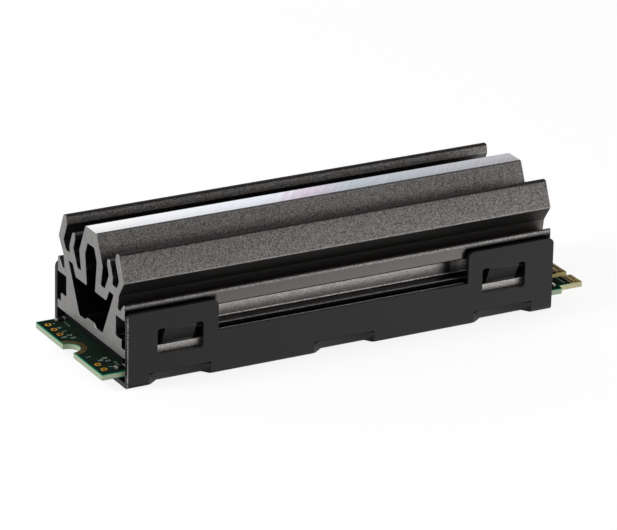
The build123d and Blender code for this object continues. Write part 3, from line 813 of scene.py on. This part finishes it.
def makeChips(nodeName, pieceName, materials, look):
    # each chip is a rounded section carried along its length: tin terminal, body, tin terminal
    boxes = solidBoxes(nodeName)
    low, high = boxes[:, 0], boxes[:, 1]
    size, middle = high - low, (low + high) / 2
    lengthwise = (size[:, 1] > size[:, 0]).astype(int)
    length = np.take_along_axis(size[:, :2], lengthwise[:, None], 1)[:, 0]
    width = np.take_along_axis(size[:, :2], 1 - lengthwise[:, None], 1)[:, 0]
    # stations as (share of the length from the middle, offset towards the middle, how far the section is drawn in)
    end, foot, drawn, sunk = 0.5, 0.5 - look["terminal"], look["round"], look["sunk"]
    stations = np.array([
        (-end, 0.0, drawn), (-end, drawn * 0.3, drawn * 0.3), (-end, drawn, 0.0), (-foot, -drawn / 2, 0.0),
        (-foot, 0.0, sunk), (foot, 0.0, sunk), (foot, drawn / 2, 0.0), (end, -drawn, 0.0),
        (end, -drawn * 0.3, drawn * 0.3), (end, 0.0, drawn),
    ])
    # the section at angle t is a rounded rectangle: cos and sin drawn out to the power of its squareness
    count = look["around"]
    turn = (np.arange(count) + 0.5) * 2 * np.pi / count
    across = np.sign(np.cos(turn)) * np.abs(np.cos(turn)) ** look["squareness"]
    upward = np.sign(np.sin(turn)) * np.abs(np.sin(turn)) ** look["squareness"]
    along = stations[None, :, 0] * length[:, None] + stations[None, :, 1]
    halfWidth = width[:, None] / 2 - stations[None, :, 2]
    halfHeight = size[:, 2][:, None] / 2 - stations[None, :, 2]
    shape = (len(boxes), len(stations), len(turn))
    lengthways = np.broadcast_to(along[:, :, None], shape)
    sideways = halfWidth[:, :, None] * across
    swap = lengthwise[:, None, None] == 1
    points = np.stack([
        np.where(swap, sideways, lengthways),
        np.where(swap, lengthways, sideways),
        np.broadcast_to(halfHeight[:, :, None] * upward, shape),
    ], 3) + middle[:, None, None]
    row, column = np.meshgrid(np.arange(len(stations) - 1), np.arange(count), indexing="ij")
    nextColumn = (column + 1) % count
    pairs = ((row, column), (row, nextColumn), (row + 1, nextColumn), (row + 1, column))
    sides = np.stack([(a * count + b).ravel() for a, b in pairs], 1)
    caps = np.stack([np.arange(count)[::-1], np.arange(count) + (len(stations) - 1) * count])
    offsets = np.arange(len(boxes)) * len(stations) * count
    sideFaces = sides[None] + offsets[:, None, None]
    capFaces = caps[None] + offsets[:, None, None]
    # a chip lying along Y is a mirror image, so its faces are turned round
    sideFaces = np.where(swap, sideFaces[:, :, ::-1], sideFaces).reshape(-1, 4)
    capFaces = np.where(swap, capFaces[:, :, ::-1], capFaces).reshape(-1, count)
    onBody = (row.ravel() == (len(stations) - 1) // 2).astype(int)
    faceMaterial = np.concatenate([1 - np.tile(onBody, len(boxes)), np.ones(len(capFaces), int)])
    piece = newPiece(pieceName, points.reshape(-1, 3), [sideFaces, capFaces], materials, faceMaterial)
    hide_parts(nodeName)


eyeletLook = {
    "radius": 0.5,
    "bore": 0.22,
    "foil": 0.05,
    "barrel": 0.2,           # how far the barrel's outside lies within the land's
    "around": 28,
}


def makeEyelets(materials, look):
    # rounded lands on both faces and the barrel between, turned about each hole's axis
    boxes = solidBoxes("plated_holes")
    low, high = boxes[0, 0, 2], boxes[0, 1, 2]
    radius, bore, foil = look["radius"], look["bore"], look["foil"]
    upper = [
        (radius, high - foil), (radius - 0.03, high - 0.012), (radius - 0.10, high),
        (bore + 0.12, high), (bore + 0.04, high - 0.02), (bore, high - 0.09),
    ]
    lower = [(r, low + high - h) for r, h in upper[::-1]]
    neck = [(radius - look["barrel"], low + foil), (radius - look["barrel"], high - foil)]
    profile = upper + lower + neck
    points, faces = revolved(boxes.mean(1)[:, :2], profile, look["around"])
    # the bore, which takes the painted shade, runs from the last slope of the upper land to the first of the lower one
    ring = np.arange(len(faces)) // look["around"] % len(profile)
    inBore = (ring >= len(upper) - 2) & (ring <= len(upper))
    piece = newPiece("platedEyelets", points, [faces[:, ::-1]], materials, inBore, sharpAngle=50)
    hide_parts("plated_holes")


marksLook = {
    "ink": (0.55, 0.76, 0.64),
    "stroke": 0.1,
    "raised": 0.012,
    "height": 0.62,          # of a numeral
    # numerals: the figure, where its middle lies, and the turn of its upright in degrees
    "numerals": [
        ("4", -37.75, 7.45, 90), ("7", -37.75, 5.9, 90), ("2", -37.7, 4.4, 90), ("5", -37.6, 3.3, 90),
        ("3", -38.75, 4.0, 90), ("1", -38.8, -4.3, 90), ("8", -36.85, -5.4, 90), ("6", -37.75, -5.9, 90),
        ("0", -36.85, -6.5, 90),
    ],
    # dashed lines: start, end, number of dashes
    "dashes": [
        ((-36.2, 7.3), (-36.2, 9.4), 3), ((-36.2, -7.1), (-36.2, -8.9), 3), ((37.35, -6.8), (37.35, -9.3), 5),
        ((-38.0, -8.3), (-36.6, -9.2), 1), ((-37.9, 9.2), (-37.7, 9.5), 1),
    ],
}
# the seven strokes of a numeral in its own square, and which of them each figure takes
numeralStrokes = np.array([
    [(-0.3, 0.5), (0.3, 0.5)], [(0.3, 0.5), (0.3, 0.0)], [(0.3, 0.0), (0.3, -0.5)], [(-0.3, -0.5), (0.3, -0.5)],
    [(-0.3, 0.0), (-0.3, -0.5)], [(-0.3, 0.5), (-0.3, 0.0)], [(-0.3, 0.0), (0.3, 0.0)],
])
numeralParts = {
    "0": (0, 1, 2, 3, 4, 5), "1": (1, 2), "2": (0, 1, 6, 4, 3), "3": (0, 1, 6, 2, 3), "4": (5, 6, 1, 2),
    "5": (0, 5, 6, 2, 3), "6": (0, 5, 4, 3, 2, 6), "7": (0, 1, 2), "8": (0, 1, 2, 3, 4, 5, 6),
}


def makeMarks(look):
    # printed strokes: each is a flat bar round its middle line, its ends half a stroke longer
    lines = []
    for figure, x, y, upright in look["numerals"]:
        turn = radians(upright - 90)
        axes = np.array([[np.cos(turn), np.sin(turn)], [-np.sin(turn), np.cos(turn)]]) * look["height"]
        lines.append(numeralStrokes[list(numeralParts[figure])] @ np.array([[0, 1], [-1, 0]]) @ axes + (x, y))
    for start, end, count in look["dashes"]:
        places = (np.arange(count)[:, None] + np.array([0.25, 0.75])) / count
        lines.append(np.array(start) + places[:, :, None] * (np.array(end) - np.array(start)))
    lines = np.concatenate(lines)
    run = lines[:, 1] - lines[:, 0]
    run /= np.linalg.norm(run, axis=1)[:, None]
    reach = run * look["stroke"] / 2
    side = np.stack([-reach[:, 1], reach[:, 0]], 1)
    first, last = lines[:, 0] - reach, lines[:, 1] + reach
    corners = np.stack([first - side, last - side, last + side, first + side], 1)
    top = float(cardHigh[2])
    levels = np.array([top, top + look["raised"]])
    heights = np.broadcast_to(levels[None, :, None, None], (len(lines), 2, 4, 1))
    points = np.concatenate([np.repeat(corners[:, None], 2, 1), heights], 3)
    box = np.array([(0, 3, 2, 1), (4, 5, 6, 7), (0, 1, 5, 4), (1, 2, 6, 5), (2, 3, 7, 6), (3, 0, 4, 7)])
    faces = (box[None] + (np.arange(len(lines)) * 8)[:, None, None]).reshape(-1, 4)
    ink = makePlainMaterial("markInk", look["ink"], 0.6)
    newPiece("printedMarks", points.reshape(-1, 3), [faces], [ink])


dress("circuit_board", makeCardMaterial(cardLook))
finishLooks = {
    "goldPlate": {
        "colour": (0.50, 0.36, 0.03), "roughness": 0.4, "metallic": 1.0, "grainSize": 0.2, "contrast": 0.5,
        "dull": ((0.05, 0.02, 0.0), (3.4, 0.13, 1.0), (0.46, 0.53)),
    },
    "eyeletGold": {
        "colour": (1.0, 0.48, 0.012), "roughness": 0.32, "metallic": 0.2, "grainSize": 0.2, "contrast": 0.8,
        "dull": ((0.35, 0.14, 0.01), (2.2, 3.0, 1.0), (0.56, 0.66)),
    },
    # painted shade: the gold darker down the bore
    "boreShadeGold": {"colour": (0.16, 0.05, 0.004), "roughness": 0.5, "metallic": 0.3},
    "maskedCopper": {
        "colour": (0.19, 0.115, 0.03), "roughness": 0.45, "metallic": 0.2,
        "dull": ((0.10, 0.075, 0.02), (1.0, 1.0, 1.0), (0.4, 0.65)),
    },
    "padRubber": {
        "colour": (0.010, 0.010, 0.011), "roughness": 0.85, "grainSize": 0.3, "contrast": 0.8, "depth": 0.02,
        "gloss": 0.12,
    },
    "packageResin": {"colour": (0.012, 0.012, 0.013), "roughness": 0.5},
    "inductorFerrite": {"colour": (0.04, 0.04, 0.042), "roughness": 0.6},
    "crystalLid": {"colour": (0.6, 0.6, 0.6), "roughness": 0.35, "metallic": 1.0},
    "chipCeramic": {"colour": chipLook["ceramic"], "roughness": 0.5},
    "chipTin": {"colour": chipLook["tin"], "roughness": 0.3, "metallic": 0.6},
    "resistorGlaze": {"colour": (0.012, 0.012, 0.014), "roughness": 0.35},
}
finishes = {name: makePlainMaterial(name, **look) for name, look in finishLooks.items()}
makeEyelets([finishes["eyeletGold"], finishes["boreShadeGold"]], eyeletLook)
for nodeName, pieceName, body in (
    ("bulk_capacitors", "bulkCapacitors", "chipCeramic"),
    ("bypass_capacitors", "bypassCapacitors", "chipCeramic"),
    ("chip_resistors", "chipResistors", "resistorGlaze"),
):
    makeChips(nodeName, pieceName, [finishes[body], finishes["chipTin"]], chipLook)
makeMarks(marksLook)
padRound = 0.22
for nodeName, pieceName in (("upper_thermal_pad", "upperPad"), ("lower_thermal_pad", "lowerPad")):
    roundedCopy(nodeName, pieceName, padRound, [finishes["padRubber"]])
for finish, nodeNames in {
    "goldPlate": ("top_edge_contacts", "bottom_edge_contacts"),
    "maskedCopper": ("top_ground_ring", "bottom_ground_ring"),
    "packageResin": (
        "rear_flash_package", "front_flash_package", "memory_chip", "controller_chip", "power_chip", "firmware_chip",
    ),
    "inductorFerrite": ("power_inductors",),
    "crystalLid": ("clock_crystal",),
    "chipCeramic": ("input_fuse",),
}.items():
    for nodeName in nodeNames:
        dress(nodeName, finishes[finish])
print("card dressed")

# studio

studio = {
    "floor": (0.30, 0.30, 0.30),
    "floorGlow": 0.86,
    "floorReach": 3.0,       # metres from the middle to each side
    "floorDrop": 0.00005,
    "around": 0.50,          # the room at table height and below, all round
    "dome": 0.125,           # the dim upper room
    "wallTop": (8.0, 34.0),  # elevations between which the wall fades into the dome
    "front": 0.75,           # added towards the front right
    "frontAzimuth": 70.0,    # degrees from straight ahead towards +X
    "frontEdge": (-0.1, 0.95),
    "flag": 0.95,            # share that a dark screen takes away at the front left, close to the floor
    "flagAzimuth": -14.0,
    "flagEdge": (0.60, 0.86),
    "flagTop": (-6.0, 12.0),
    "ownShade": (-56.0, -34.0),  # steeply down lies the object's own shade on the paper
    "ownShadeLight": 0.2,
    "window": 0.62,          # a bright patch behind the object, which the crest mirrors
    "windowAzimuth": 151.0,
    "windowEdge": (0.70, 0.86),
    "windowHeight": (10.0, 16.0, 28.0, 36.0),
    "lights": [
        # name, place and aim in metres, width and height, power in watts
        ("side", (0.34, -0.30, 0.13), (0.03, 0, 0.012), (0.16, 0.12), 0.08),
        ("left", (-0.27, 0.05, 0.22), (-0.038, 0, 0.003), (0.10, 0.10), 0.38),
    ],
}


def makeWorld(look):
    # brightness as a function of the direction: its height and its turn from the front
    world = bpy.data.worlds.new("studio")
    world.use_nodes = True
    tree = world.node_tree
    way = tree.nodes.new("ShaderNodeTexCoord")
    parts = tree.nodes.new("ShaderNodeSeparateXYZ")
    tree.links.new(way.outputs["Generated"], parts.inputs[0])
    x, y, z = (Wire(tree, parts.outputs[key]) for key in "XYZ")

    level = (z * z).flip().join("SQRT").join("POWER", -1.0)

    def towards(azimuth):
        # the cosine of the turn away from this azimuth, seen from above
        turn = radians(azimuth)
        return (x * float(np.sin(turn)) - y * float(np.cos(turn))) * level

    def sines(angles):
        return [float(np.sin(radians(angle))) for angle in angles]

    wall = z.between(*sines(look["wallTop"])).flip()
    front = towards(look["frontAzimuth"]).between(*look["frontEdge"])
    flag = towards(look["flagAzimuth"]).between(*look["flagEdge"]) * z.between(*sines(look["flagTop"])).flip()
    heights = sines(look["windowHeight"])
    window = towards(look["windowAzimuth"]).between(*look["windowEdge"])
    window = window * z.between(*heights[:2]) * z.between(*heights[2:]).flip()
    light = wall * (front * look["front"] + look["around"]) * (flag * look["flag"]).flip()
    light = light * mixValue(tree, z.between(*sines(look["ownShade"])), look["ownShadeLight"], 1.0)
    plug(tree, light + look["dome"] + window * look["window"], tree.nodes["Background"].inputs["Strength"])
    tree.nodes["Background"].inputs["Color"].default_value = (1, 1, 1, 1)
    bpy.context.scene.world = world


def makeStudio(look):
    # the floor is a flat sheet of paper that only the camera sees; the object is lit by the room and two soft panels
    reach = look["floorReach"]
    mesh = bpy.data.meshes.new("floor")
    rim = [(-reach, -reach, 0), (reach, -reach, 0), (reach, reach, 0), (-reach, reach, 0)]
    mesh.from_pydata(rim, [], [(0, 1, 2, 3)])
    floor = bpy.data.objects.new("floor", mesh)
    floor.location.z = -look["floorDrop"]
    floor.visible_glossy = floor.visible_diffuse = floor.visible_shadow = False
    bpy.context.scene.collection.objects.link(floor)
    material, tree, shader = startMaterial("floorPaper", Roughness=0.9, Emission_Strength=look["floorGlow"])
    shader.inputs["Base Color"].default_value = (*look["floor"], 1)
    shader.inputs["Emission Color"].default_value = (1, 1, 1, 1)
    mesh.materials.append(material)
    makeWorld(look)
    for name, place, aim, size, power in look["lights"]:
        data = bpy.data.lights.new(name, "AREA")
        data.shape, data.size, data.size_y, data.energy = "RECTANGLE", size[0], size[1], power
        light = bpy.data.objects.new(name, data)
        light.location = place
        light.rotation_euler = (Vector(aim) - Vector(place)).to_track_quat("-Z", "Y").to_euler()
        bpy.context.scene.collection.objects.link(light)
    bpy.context.scene.view_settings.view_transform = "Standard"


makeStudio(studio)
print("studio lit")
